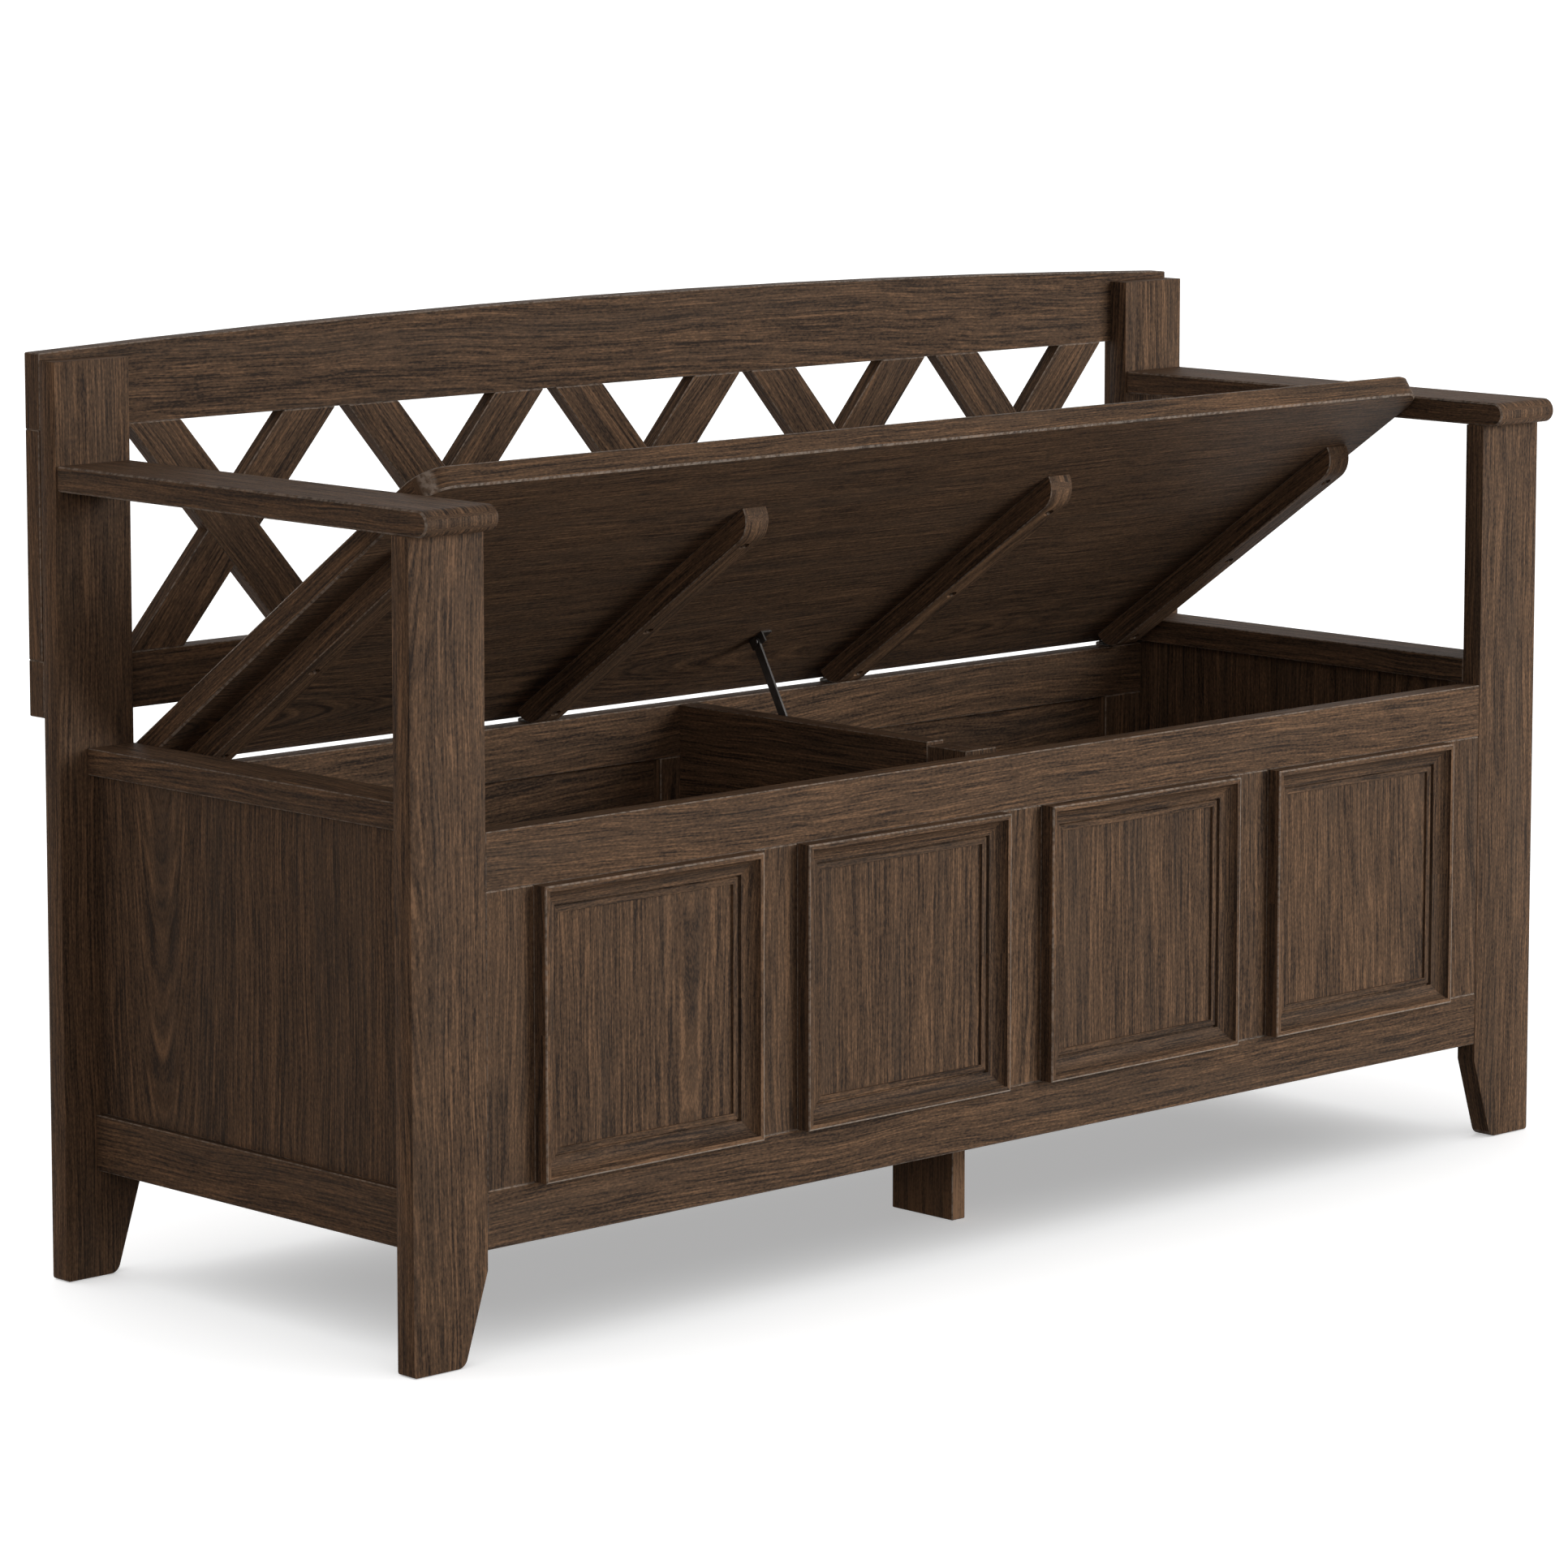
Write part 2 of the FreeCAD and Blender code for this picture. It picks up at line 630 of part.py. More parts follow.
# Divider, with two posts at its front end, and the leg below it
keep(add_board("divider_panel", (divider_left, divider_stile_back, floor_top),
               (divider_right, rear_box_front, size["box_top"] - size["divider_drop"])), "divider_panel")
post_top = size["box_top"] - size["post_drop"]
post_left = add_board("divider_stile", (divider_left, divider_front, floor_top),
                      (divider_right, divider_stile_back, post_top))
post_right = add_board("divider_post", (divider_right, divider_front, floor_top),
                       (divider_right + size["divider_post_thick"], divider_stile_back, post_top))
compound("divider_posts", [post_left, post_right])

centre_leg_front = box_front + size["centre_leg_setback"]
keep(add_board("centre_leg", (divider_right, centre_leg_front, zero),
               (divider_right + size["centre_leg_thick"], centre_leg_front + size["centre_leg_width"],
                floor_underside)), "centre_leg")

# Back frame, behind the rear legs: an arched top rail, a bottom rail and two stiles
back_front = rear_leg_back
keep(add_board("back_bottom_rail", (-leg_outer, back_front, back_underside),
               (leg_outer, back_front + board, lattice_bottom)), "back_bottom_rail")

top_rail = doc.addObject("PartDesign::Body", "back_top_rail")
end_height = size["top_rail_end"]
arch_rise = size["top_rail_rise"]
arch_radius = (leg_outer * leg_outer + arch_rise * arch_rise) / (2 * arch_rise)
arch = [
    (-leg_outer, zero),
    (leg_outer, zero),
    (leg_outer, end_height, arch_radius),
    (-leg_outer, end_height),
]
add_pad(top_rail, "XZ_Plane", zero, board, arch)
add_ease(top_rail, size["edge_ease"])
place(top_rail, zero, back_front, lattice_top)
keep(top_rail, "back_top_rail")

for word, side in SIDES:
    start, end = across(side, zero, size["back_stile_width"])
    low = (start, back_front + size["back_stile_setback"], lattice_bottom)
    keep(add_board(f"back_stile_{word}", low, (end, back_front + board, lattice_top)),
         f"back_stile_{word}")

# Lattice: slats that rise and fall between the rails, half lapped where they cross
outer_crossing = leg_outer - size["back_stile_width"] - size["crossing_inset"]
crossing_pitch = 2 * outer_crossing / (CROSSINGS - 1)
slat_reach = (crossing_pitch - size["slat_gap"]) / 2
half_lattice = size["lattice_height"] / 2
corner_distance = square_root(slat_reach * slat_reach + half_lattice * half_lattice)
slat_angle = arc_tangent(half_lattice, slat_reach) + arc_sine(size["slat_width"] / 2 / corner_distance)
slat_half = size["slat_width"] / 2 / sine(slat_angle)
slat_run = slat_reach - slat_half


def slat_outline(side):
    """A slat's outline from below its crossing: side is -1 where it rises to the right."""
    foot = side * slat_run
    return [
        (foot - slat_half, zero),
        (foot + slat_half, zero),
        (slat_half - foot, size["lattice_height"]),
        (-slat_half - foot, size["lattice_height"]),
    ]


def slat(label, side, x):
    """A slat that keeps its front half at the crossing where it falls, and its back half where it rises."""
    body = doc.addObject("PartDesign::Body", label)
    add_pad(body, "XZ_Plane", zero, size["slat_thick"], slat_outline(side))
    add_ease(body, size["edge_ease"])
    doc.recompute()
    half = size["slat_thick"] / 2
    lap_start = half if side is RIGHT else zero
    add_pocket(body, "XZ_Plane", lap_start, half, slat_outline(-side))
    place(body, x, back_front, lattice_bottom)
    keep(body, label)


for number in range(CROSSINGS):
    middle = (number - (CROSSINGS - 1) / 2) * crossing_pitch
    slat(f"lattice_falling_slat_{number + 1}", RIGHT, middle)
    slat(f"lattice_rising_slat_{number + 1}", LEFT, middle)

# Lid board, drilled from below for the screws of its battens
lid_rear = -size["lid_rear_gap"]
lid_front = leg_front - size["lid_overhang"] - hinge_y
corner = size["lid_corner"]
lid = doc.addObject("PartDesign::Body", "lid_board")
lid_outline = [
    (corner - lid_half, lid_front),
    (lid_half - corner, lid_front, corner),
    (lid_half, lid_front + corner),
    (lid_half, lid_rear),
    (-lid_half, lid_rear),
    (-lid_half, lid_front + corner, corner),
]
add_pad(lid, "XY_Plane", zero, board, lid_outline)
add_ease(lid, size["lid_edge"])
doc.recompute()
batten_rear = rear_box_front - size["batten_clearance"] - hinge_y
batten_front = lid_front + size["batten_setback"]
batten_length = batten_rear - batten_front
screw_pitch = (batten_length - 2 * size["screw_inset"]) / (BATTEN_SCREWS - 1)
screw_places = []
for number in range(BATTEN_SCREWS):
    screw_places.append(batten_front + size["screw_inset"] + number * screw_pitch)
pilot = size["screw_radius"] + size["fit_clearance"]
pilots = [(x, along, pilot) for x in batten_middles for along in screw_places]
add_pocket(lid, "XY_Plane", zero, size["screw_bite"] + size["fit_clearance"], circles=pilots)
put_on_lid(lid, zero, zero, lid_rise)
keep(lid, "lid_board")


# Battens under the lid, with rounded ends and sunk screws
def batten(name, middle):
    """A batten, its rounded ends turned down and its flat top at its own origin."""
    body = doc.addObject("PartDesign::Body", name)
    thick = size["batten_thick"]
    corners = [
        (thick, -thick),
        (batten_length - thick, -thick, thick),
        (batten_length, zero),
        (zero, zero, thick),
    ]
    half = size["batten_width"] / 2
    add_pad(body, "YZ_Plane", -half, size["batten_width"], corners)
    add_ease(body, size["edge_ease"])
    doc.recompute()
    holes = [(zero, along - batten_front, pilot) for along in screw_places]
    sinks = [(zero, along - batten_front, size["counterbore"]) for along in screw_places]
    add_pocket(body, "XY_Plane", -thick, thick, circles=holes)
    add_pocket(body, "XY_Plane", -thick, size["counterbore_depth"], circles=sinks)
    put_on_lid(body, middle, batten_front, lid_rise)
    return body


compound("lid_battens", [batten(f"batten_{number}", middle)
                         for number, middle in enumerate(batten_middles, start=1)])


def screw(name, middle, along):
    """A screw with a flat tapered head, seen from its head up to its point."""
    body = doc.addObject("PartDesign::Body", name)
    head = size["screw_head_height"]
    length = size["batten_thick"] - size["counterbore_depth"] + size["screw_bite"]
    profile = [
        (zero, -head),
        (size["screw_head"], -head),
        (size["screw_head"], zero),
        (size["screw_radius"], zero),
        (size["screw_radius"], length - size["screw_radius"]),
        (zero, length),
    ]
    sketch = new_sketch(body, "XZ_Plane", zero)
    add_outline(sketch, profile)
    turned = body.newObject("PartDesign::Revolution", name + "Turned")
    turned.Profile = sketch
    turned.ReferenceAxis = (sketch, ["V_Axis"])
    turned.Angle = 360
    put_on_lid(body, middle, along, lid_rise - size["batten_thick"] + size["counterbore_depth"])
    return body


screws = []
for batten_number, middle in enumerate(batten_middles, start=1):
    for screw_number, along in enumerate(screw_places, start=1):
        screws.append(screw(f"batten_screw_{batten_number}_{screw_number}", middle, along))
compound("batten_screws", screws)


# Butt hinges: a leaf on the rear rail, a leaf under the lid, and a pin through their knuckles
knuckle = size["hinge_length"] / 3
knuckle_reach = size["knuckle_radius"] + size["knuckle_gap"]
leaf_reach = knuckle_reach + size["leaf_width"]
tongue_end = size["knuckle_root"]
bore = size["hinge_pin_radius"] + size["fit_clearance"]


def leaf(name, level, spans):
    """A leaf with a rolled knuckle over each span along X. Its origin is the middle of the hinge axis."""
    body = doc.addObject("PartDesign::Body", name)
    half = size["hinge_length"] / 2
    plate = [(-half, -leaf_reach), (half, -leaf_reach), (half, -knuckle_reach), (-half, -knuckle_reach)]
    add_pad(body, "XY_Plane", level, size["leaf_thick"], plate)
    for start, end in spans:
        tongue = [(start, -knuckle_reach), (end, -knuckle_reach), (end, -tongue_end), (start, -tongue_end)]
        add_pad(body, "XY_Plane", level, size["leaf_thick"], tongue)
        rings = [(zero, zero, size["knuckle_radius"]), (zero, zero, bore)]
        add_pad(body, "YZ_Plane", start, end - start, circles=rings)
    return body


frame_leaves = []
lid_leaves = []
pins = []
half_play = size["leaf_play"] / 2
middle_start = -knuckle / 2 + half_play
middle_end = knuckle / 2 - half_play
hinge_half = size["hinge_length"] / 2
for number, middle in enumerate(hinge_middles, start=1):
    frame_spans = [(-hinge_half, -knuckle / 2 - half_play), (knuckle / 2 + half_play, hinge_half)]
    frame_leaf = leaf(f"frame_leaf_{number}", -half_play - size["leaf_thick"], frame_spans)
    place(frame_leaf, middle, hinge_y, hinge_z)
    frame_leaves.append(frame_leaf)
    lid_leaf = leaf(f"lid_leaf_{number}", half_play, [(middle_start, middle_end)])
    put_on_lid(lid_leaf, middle, zero, zero)
    lid_leaves.append(lid_leaf)
    pin = doc.addObject("PartDesign::Body", f"hinge_pin_{number}")
    add_pad(pin, "YZ_Plane", -hinge_half, size["hinge_length"],
            circles=[(zero, zero, size["hinge_pin_radius"])])
    place(pin, middle, hinge_y, hinge_z)
    pins.append(pin)
compound("hinge_frame_leaves", frame_leaves)
compound("hinge_lid_leaves", lid_leaves)
compound("hinge_pins", pins)

# Folding stay beside the divider. Its arms and the line from the hinge to the lid's pin make a
# parallelogram: the upper arm keeps its slope, and the lower arm turns as far as the lid does.
pin_radius = size["stay_pin_radius"]
pin_hole = pin_radius + size["fit_clearance"]
elbow_hole = pin_radius + size["stay_gap"]
head_radius = size["stay_head_radius"]
head_thick = size["stay_head_thick"]
gap = size["stay_gap"]
bar = size["stay_bar_thick"]
plate_face = divider_right + size["stay_plate_thick"]
upper_left = plate_face + gap + gap
upper_right = upper_left + bar
outer_left = upper_right + gap
lower_right = outer_left + bar
inner_head = upper_left - gap - head_thick
stay_run_y = size["stay_length"] * cosine(size["stay_slope"])
stay_run_z = size["stay_length"] * sine(size["stay_slope"])
base_y = hinge_y - stay_run_y
base_z = hinge_z - stay_run_z
reach = size["stay_reach"]
drop = size["stay_drop"]
swing = on_lid(upper_left, -reach, -drop)
lower_length = square_root(reach * reach + drop * drop)
reach_angle = arc_tangent(drop, reach)


def bar_outline(length):
    """A flat bar with round ends, along Y from one pin to the other."""
    half = size["stay_bar_width"] / 2
    return [
        (zero, -half),
        (length, -half, half),
        (length + half, zero, half),
        (length, half),
        (zero, half, half),
        (-half, zero, half),
    ]


# Upper arm, from the pin in the lid down to the elbow
upper = doc.addObject("PartDesign::Body", "stay_upper_arm")
add_pad(upper, "YZ_Plane", zero, bar, bar_outline(size["stay_length"]),
        [(zero, zero, pin_hole), (size["stay_length"], zero, elbow_hole)])
place(upper, *swing, axis=X_AXIS, angle=size["stay_slope"] + 180)
keep(upper, "stay_upper_arm")

# Lower arm, from its plate to the elbow, with the elbow's pin riveted in
lower = doc.addObject("PartDesign::Body", "stay_lower_arm")
add_pad(lower, "YZ_Plane", zero, bar, bar_outline(lower_length), [(zero, zero, pin_hole)])
add_pad(lower, "YZ_Plane", inner_head + head_thick - outer_left, outer_left - inner_head - head_thick,
        circles=[(lower_length, zero, pin_radius)])
add_pad(lower, "YZ_Plane", inner_head - outer_left, head_thick,
        circles=[(lower_length, zero, head_radius)])
place(lower, outer_left, base_y, base_z, axis=X_AXIS,
      angle=Size(180) + reach_angle - size["open_angle"])
keep(lower, "stay_lower_arm")

# Plate on the divider, with the boss and the pin that carry the lower arm
base = doc.addObject("PartDesign::Body", "stay_base_plate")
half_width = size["stay_plate_width"] / 2
half_length = size["stay_plate_length"] / 2
base_plate = [(-half_width, -half_length), (half_width, -half_length), (half_width, half_length),
              (-half_width, half_length)]
add_pad(base, "YZ_Plane", zero, size["stay_plate_thick"], base_plate)
add_pad(base, "YZ_Plane", size["stay_plate_thick"], upper_right - plate_face,
        circles=[(zero, zero, size["stay_boss_radius"])])
add_pad(base, "YZ_Plane", upper_right - divider_right, lower_right + gap - upper_right,
        circles=[(zero, zero, pin_radius)])
add_pad(base, "YZ_Plane", lower_right + gap - divider_right, head_thick,
        circles=[(zero, zero, head_radius)])
place(base, divider_right, base_y, base_z)
keep(base, "stay_base_plate")

# Bracket under the lid, with the pin that carries the upper arm
bracket = doc.addObject("PartDesign::Body", "stay_lid_bracket")
bracket_half = size["bracket_length"] / 2
plate_thick = size["stay_plate_thick"]
ear_bottom = -drop - size["bracket_ear"]
angle_section = [
    (outer_left, ear_bottom),
    (outer_left + plate_thick, ear_bottom),
    (outer_left + plate_thick, lid_rise - plate_thick),
    (outer_left + plate_thick + size["bracket_flange"], lid_rise - plate_thick),
    (outer_left + plate_thick + size["bracket_flange"], lid_rise),
    (outer_left, lid_rise),
]
add_pad(bracket, "XZ_Plane", -reach - bracket_half, size["bracket_length"], angle_section)
add_pad(bracket, "YZ_Plane", inner_head + head_thick, outer_left - inner_head - head_thick,
        circles=[(-reach, -drop, pin_radius)])
add_pad(bracket, "YZ_Plane", inner_head, head_thick,
        circles=[(-reach, -drop, head_radius)])
put_on_lid(bracket, zero, zero, zero)
keep(bracket, "stay_lid_bracket")

doc.recompute()

# Check the document and every sub-part before anything is written
for item in doc.Objects:
    if "Invalid" in item.State or "Error" in item.State:
        raise RuntimeError(f"{item.Label}: {item.State}")
for item in subparts:
    if item.Shape.isNull() or not item.Shape.isValid():
        raise RuntimeError(f"{item.Label}: no valid shape")

os.makedirs("parts", exist_ok=True)
for item in subparts:
    item.Shape.exportStep(os.path.join("parts", item.Label + ".step"))
    box = item.Shape.BoundBox
    print(f"{item.Label}: {len(item.Shape.Solids)} solid(s), "
          f"x {box.XMin:.1f} to {box.XMax:.1f}, y {box.YMin:.1f} to {box.YMax:.1f}, "
          f"z {box.ZMin:.1f} to {box.ZMax:.1f}")
print(f"{len(subparts)} sub-parts")
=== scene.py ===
import json
import math
import random

import bpy
from mathutils import Matrix, Vector

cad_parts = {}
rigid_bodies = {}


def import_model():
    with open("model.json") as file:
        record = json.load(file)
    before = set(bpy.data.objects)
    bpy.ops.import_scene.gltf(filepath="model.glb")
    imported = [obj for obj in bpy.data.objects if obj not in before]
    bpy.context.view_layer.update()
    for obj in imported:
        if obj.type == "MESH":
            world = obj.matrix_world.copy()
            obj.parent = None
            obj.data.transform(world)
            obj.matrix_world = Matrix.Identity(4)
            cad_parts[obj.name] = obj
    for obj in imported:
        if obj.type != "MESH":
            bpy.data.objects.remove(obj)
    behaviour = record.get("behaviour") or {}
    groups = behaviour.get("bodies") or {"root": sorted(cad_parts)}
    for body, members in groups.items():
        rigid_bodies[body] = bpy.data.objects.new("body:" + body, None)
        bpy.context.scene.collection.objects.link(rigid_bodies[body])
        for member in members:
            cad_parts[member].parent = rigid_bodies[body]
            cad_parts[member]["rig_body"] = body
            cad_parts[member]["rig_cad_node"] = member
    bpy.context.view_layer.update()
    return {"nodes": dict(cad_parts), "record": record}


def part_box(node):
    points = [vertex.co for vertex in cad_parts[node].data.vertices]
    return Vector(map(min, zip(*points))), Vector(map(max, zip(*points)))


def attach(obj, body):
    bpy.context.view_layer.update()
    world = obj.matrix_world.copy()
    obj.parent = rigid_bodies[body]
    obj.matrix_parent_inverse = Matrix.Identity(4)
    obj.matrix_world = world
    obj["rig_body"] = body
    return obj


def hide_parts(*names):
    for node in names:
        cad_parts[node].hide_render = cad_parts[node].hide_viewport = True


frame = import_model()
nodes = frame["nodes"]
node_body = {name: body for body, names in frame["record"]["behaviour"]["bodies"].items() for name in names}
draw = random.Random(31)

RIGHT = Vector((1, 0, 0))
BACK = Vector((0, 1, 0))
UP = Vector((0, 0, 1))
LID_OPEN = math.radians(34.85)
SLAT_SLOPE = math.radians(48.9)
SMOOTH_BELOW = math.radians(32)

# The lid's own directions: from front to back along it, and up out of its top face
LID_ALONG = Vector((0, math.cos(LID_OPEN), -math.sin(LID_OPEN)))
LID_TOP = Vector((0, math.sin(LID_OPEN), math.cos(LID_OPEN)))


def stain(red, green, blue):
    """A colour as the eye reads it, 0 to 255, in the linear numbers that a shader takes."""
    linear = [(value / 255 / 12.92) if value <= 10 else ((value / 255 + 0.055) / 1.055) ** 2.4
              for value in (red, green, blue)]
    return (*linear, 1.0)


# Shader maths: a Field is a number that changes over the surface
class Field:
    def __init__(self, sheet, socket):
        self.sheet = sheet
        self.socket = socket

    def join(self, operation, *others):
        made = self.sheet.node("Math", dict(enumerate((self, *others))), operation=operation)
        return Field(self.sheet, made.outputs[0])

    def __add__(self, other):
        return self.join("ADD", other)

    def __mul__(self, other):
        return self.join("MULTIPLY", other)

    def __sub__(self, other):
        return self.join("SUBTRACT", other)

    def __pow__(self, other):
        return self.join("POWER", other)

    def __rsub__(self, other):
        return self * -1 + other

    def __abs__(self):
        return self.join("ABSOLUTE")

    __radd__ = __add__
    __rmul__ = __mul__

    def most(self, other):
        return self.join("MAXIMUM", other)

    def between(self, low, high):
        """0 up to low and 1 from high on, with a soft step between them."""
        made = self.sheet.node("MapRange", {"Value": self, "From Min": low, "From Max": high},
                               interpolation_type="SMOOTHSTEP")
        return Field(self.sheet, made.outputs[0])

    def towards(self, other, share):
        """This number where share is 0, and the other where it is 1."""
        return self + (other - self) * share


class Sheet:
    """The node sheet of a material or of the world."""

    def __init__(self, owner):
        self.owner = owner
        owner.use_nodes = True
        self.tree = owner.node_tree
        self.tree.nodes.clear()

    def node(self, kind, inputs=None, **settings):
        made = self.tree.nodes.new("ShaderNode" + kind)
        for key, value in settings.items():
            setattr(made, key, value)
        for key, value in (inputs or {}).items():
            socket = made.inputs[key] if isinstance(key, int) else next(
                found for found in made.inputs if key in (found.identifier, found.name))
            value = value.socket if isinstance(value, Field) else value
            if isinstance(value, bpy.types.NodeSocket):
                self.tree.links.new(value, socket)
            else:
                socket.default_value = value
        return made

    def split(self, vector):
        made = self.node("SeparateXYZ", {0: vector})
        return [Field(self, output) for output in made.outputs]

    def clouds(self, x, y, z, detail=0.0, roughness=0.5):
        """Soft noise around 0.5, one cloud to each step of 1 in x, y and z."""
        place = self.node("CombineXYZ", {0: x, 1: y, 2: z}).outputs[0]
        made = self.node("TexNoise", {"Vector": place, "Scale": 1.0, "Detail": detail,
                                      "Roughness": roughness})
        return Field(self, made.outputs[0])

    def blend(self, share, first, second):
        made = self.node("Mix", {"Factor_Float": share, "A_Color": first, "B_Color": second},
                         data_type="RGBA")
        return next(socket for socket in made.outputs if socket.identifier == "Result_Color")

    def finish(self, sockets):
        shader = self.node("BsdfPrincipled", sockets)
        self.node("OutputMaterial", {"Surface": shader.outputs[0]})
        return self.owner


DARK_GRAIN = stain(49, 39, 33)
BROWN = stain(90, 69, 53)
PALE_GRAIN = stain(130, 98, 73)
GREY_VEIL = stain(74, 63, 54)
# edge colour: stain worn thin on bevelled edges, and the painted highlight on the mouldings' right and
# lower corners
WORN_EDGE_AND_HIGHLIGHT = stain(176, 160, 146)
WOOD_SHINE = 0.04
# painted light: the centre leg made paler, standing for light that reaches it under the bench
CENTRE_LEG_PAINTED_LIGHT = 0.28

# How many clouds of each figure lie in a metre across the grain, and how strongly each one shows
BANDS_PER_METRE = 70
LINES_PER_METRE = 560
THREADS_PER_METRE = 230
HAIRS_PER_METRE = 1100
PORES_PER_METRE = 1500
WOOD_TONE = 0.515
BAND_SHARE = 0.26
LINE_SHARE = 1.10
HAIR_SHARE = 0.95
FLECK_SHARE = 0.85
THREAD_SHARE = 0.14
VEIL_SHARE = 0.24
PORE_SHARE = 0.30
GRAIN_DEPTH = 0.0004

# Moulding: the front corner rubbed, with a painted highlight on it along the right and lower strips, and
# its flat outer band
WORN_AND_HIGHLIT_CORNER = 0.0010, 0.0015
OUTER_BAND = 0.0040, 0.0050
BAND_PALER = 0.17
COVE_DARKER = 0.04
CORNER_PAINTED_HIGHLIGHT = 0.42


def timber(name, grain, face, low, high, rounded=False, mitred=False):
    """Walnut-stained wood for one board, its grain along the board.

    rounded: the grain runs on over the board's round ends.
    mitred: four strips round a panel, each with the grain along itself, the flat outer band
    paler, the front corner rubbed, and a painted highlight on the right and lower corners.
    """
    sheet = Sheet(bpy.data.materials.new(name))
    turn = Matrix((grain, face.cross(grain), face)).transposed().to_euler()
    where = sheet.node("TexCoord")
    board = sheet.node("Mapping", {"Vector": where.outputs["Object"], "Location": (low + high) / 2,
                                   "Rotation": turn}, vector_type="TEXTURE")
    turned = sheet.node("Mapping", {"Vector": where.outputs["Normal"], "Rotation": turn},
                        vector_type="TEXTURE")
    x, y, z = sheet.split(board.outputs[0])
    nx, ny, nz = [abs(slope) for slope in sheet.split(turned.outputs[0])]
    shift = draw.uniform(-40, 40)
    heart = draw.choice((-1, 1)) * draw.uniform(0.03, 0.16)
    heart_depth = draw.uniform(0.03, 0.07)
    # the centre leg is made paler: painted light for the light that reaches it under the bench
    tint = draw.uniform(-0.035, 0.035) + (CENTRE_LEG_PAINTED_LIGHT if name.startswith("centre_leg") else 0)

    # how far along and across the grain a place lies, on faces, edges and ends alike
    if mitred:
        half = (high - low) / 2
        from_side = abs(x) - half.x
        from_rim = abs(y) - half.z
        upright = (from_side - from_rim).between(-0.0001, 0.0001)
        inward = from_side.most(from_rim)
        along = x.towards(y, upright)
        across = inward + z
        strip = (x * 5000).between(-1, 1) * upright * 3.1 + (y * 5000).between(-1, 1) * 2.3 + upright * 7
        layer = strip + shift
        front_corner = (half.y - z) - inward
        edge = 1 - front_corner.between(*WORN_AND_HIGHLIT_CORNER)
        # painted highlight: the front corners of the right and lower strips made brighter, where the light
        # catches them
        on_right = (x * 5000).between(-1, 1) * upright
        below = (1 - (y * 5000).between(-1, 1)) * (1 - upright)
        painted_highlight = (on_right + below) * CORNER_PAINTED_HIGHLIGHT
        paler = (1 - front_corner.between(*OUTER_BAND)) * BAND_PALER - COVE_DARKER
    else:
        side = ny.between(0.62, 0.80)
        end = nx.between(0.80, 0.95)
        along = x.towards(y, end)
        across = y.towards(z, side if rounded else side.most(end))
        layer = side * 3.7 + end * 5.3 + shift
        flat = nx.most(ny).most(nz)
        edge = 1 - flat.between(0.80, 0.90)
        painted_highlight = 0
        paler = 0
        if rounded:
            edge = edge * ny.between(0.30, 0.45)

    # growth rings, which wander along the board and open into arches where the heart comes near
    bend = sheet.clouds(along * 2.6, across * 5, layer, detail=1.0) - 0.5
    sway = sheet.clouds(along * 12, across * 28, layer + 4, detail=1.0) - 0.5
    wander = sheet.clouds(along * 1.4, layer, 9.5) - 0.5
    off_heart = across - heart + bend * 0.020 + sway * 0.0052
    depth = heart_depth + wander * 0.07
    ring = (off_heart * off_heart + depth * depth) ** 0.5
    band = sheet.clouds(ring * BANDS_PER_METRE, along * 2.0, layer, detail=1.0)
    line = sheet.clouds(ring * LINES_PER_METRE, along * 7.5, layer + 5, detail=1.0, roughness=0.60)
    thread = sheet.clouds(ring * THREADS_PER_METRE, along * 3.6, layer + 11, detail=1.0)
    hair = sheet.clouds(ring * HAIRS_PER_METRE, along * 30, layer + 8, detail=1.0)
    fleck = sheet.clouds(along * 300, across * 700, z * 700 + layer, detail=1.0)
    pores = sheet.clouds(along * 60, ring * PORES_PER_METRE, layer + 15).between(0.60, 0.72)

    # dark threads where a slow field crosses its middle, faded in and out along the board
    faded = sheet.clouds(ring * BANDS_PER_METRE, along * 9, layer + 13, detail=1.0).between(0.36, 0.60)
    dark_thread = (1 - abs(thread - 0.5).between(0.0, 0.045)) * faded

    tone = WOOD_TONE + tint + paler + (band - 0.5) * BAND_SHARE + (line - 0.5) * LINE_SHARE \
        + (hair - 0.5) * HAIR_SHARE + (fleck - 0.5) * FLECK_SHARE - dark_thread * THREAD_SHARE
    colour = sheet.blend(tone.between(0.12, 0.56), DARK_GRAIN, BROWN)
    colour = sheet.blend(tone.between(0.50, 1.00), colour, PALE_GRAIN)
    veil = sheet.clouds(along * 2.6, across * 34, layer + 21, detail=2.0).between(0.44, 0.70)
    colour = sheet.blend(veil * VEIL_SHARE, colour, GREY_VEIL)
    colour = sheet.blend(pores * PORE_SHARE, colour, DARK_GRAIN)

    # stain rubbed thin along the bevelled edges, broken into flecks, and a painted highlight added on the
    # mouldings' right and lower corners
    worn = sheet.clouds(x * 260, y * 260, z * 260 + shift, detail=2.0).between(0.36, 0.62)
    colour = sheet.blend(edge * (worn * 0.34 + 0.12 + painted_highlight), colour, WORN_EDGE_AND_HIGHLIGHT)

    height = line * 0.5 + hair * 0.4 - pores * 0.5 - dark_thread * 0.3
    bump = sheet.node("Bump", {"Height": height, "Strength": 0.20, "Distance": GRAIN_DEPTH})
    rough = 0.56 - (line - 0.5) * 0.16 + pores * 0.12
    return sheet.finish({"Base Color": colour, "Roughness": rough, "Normal": bump.outputs[0],
                         "Specular IOR Level": WOOD_SHINE})


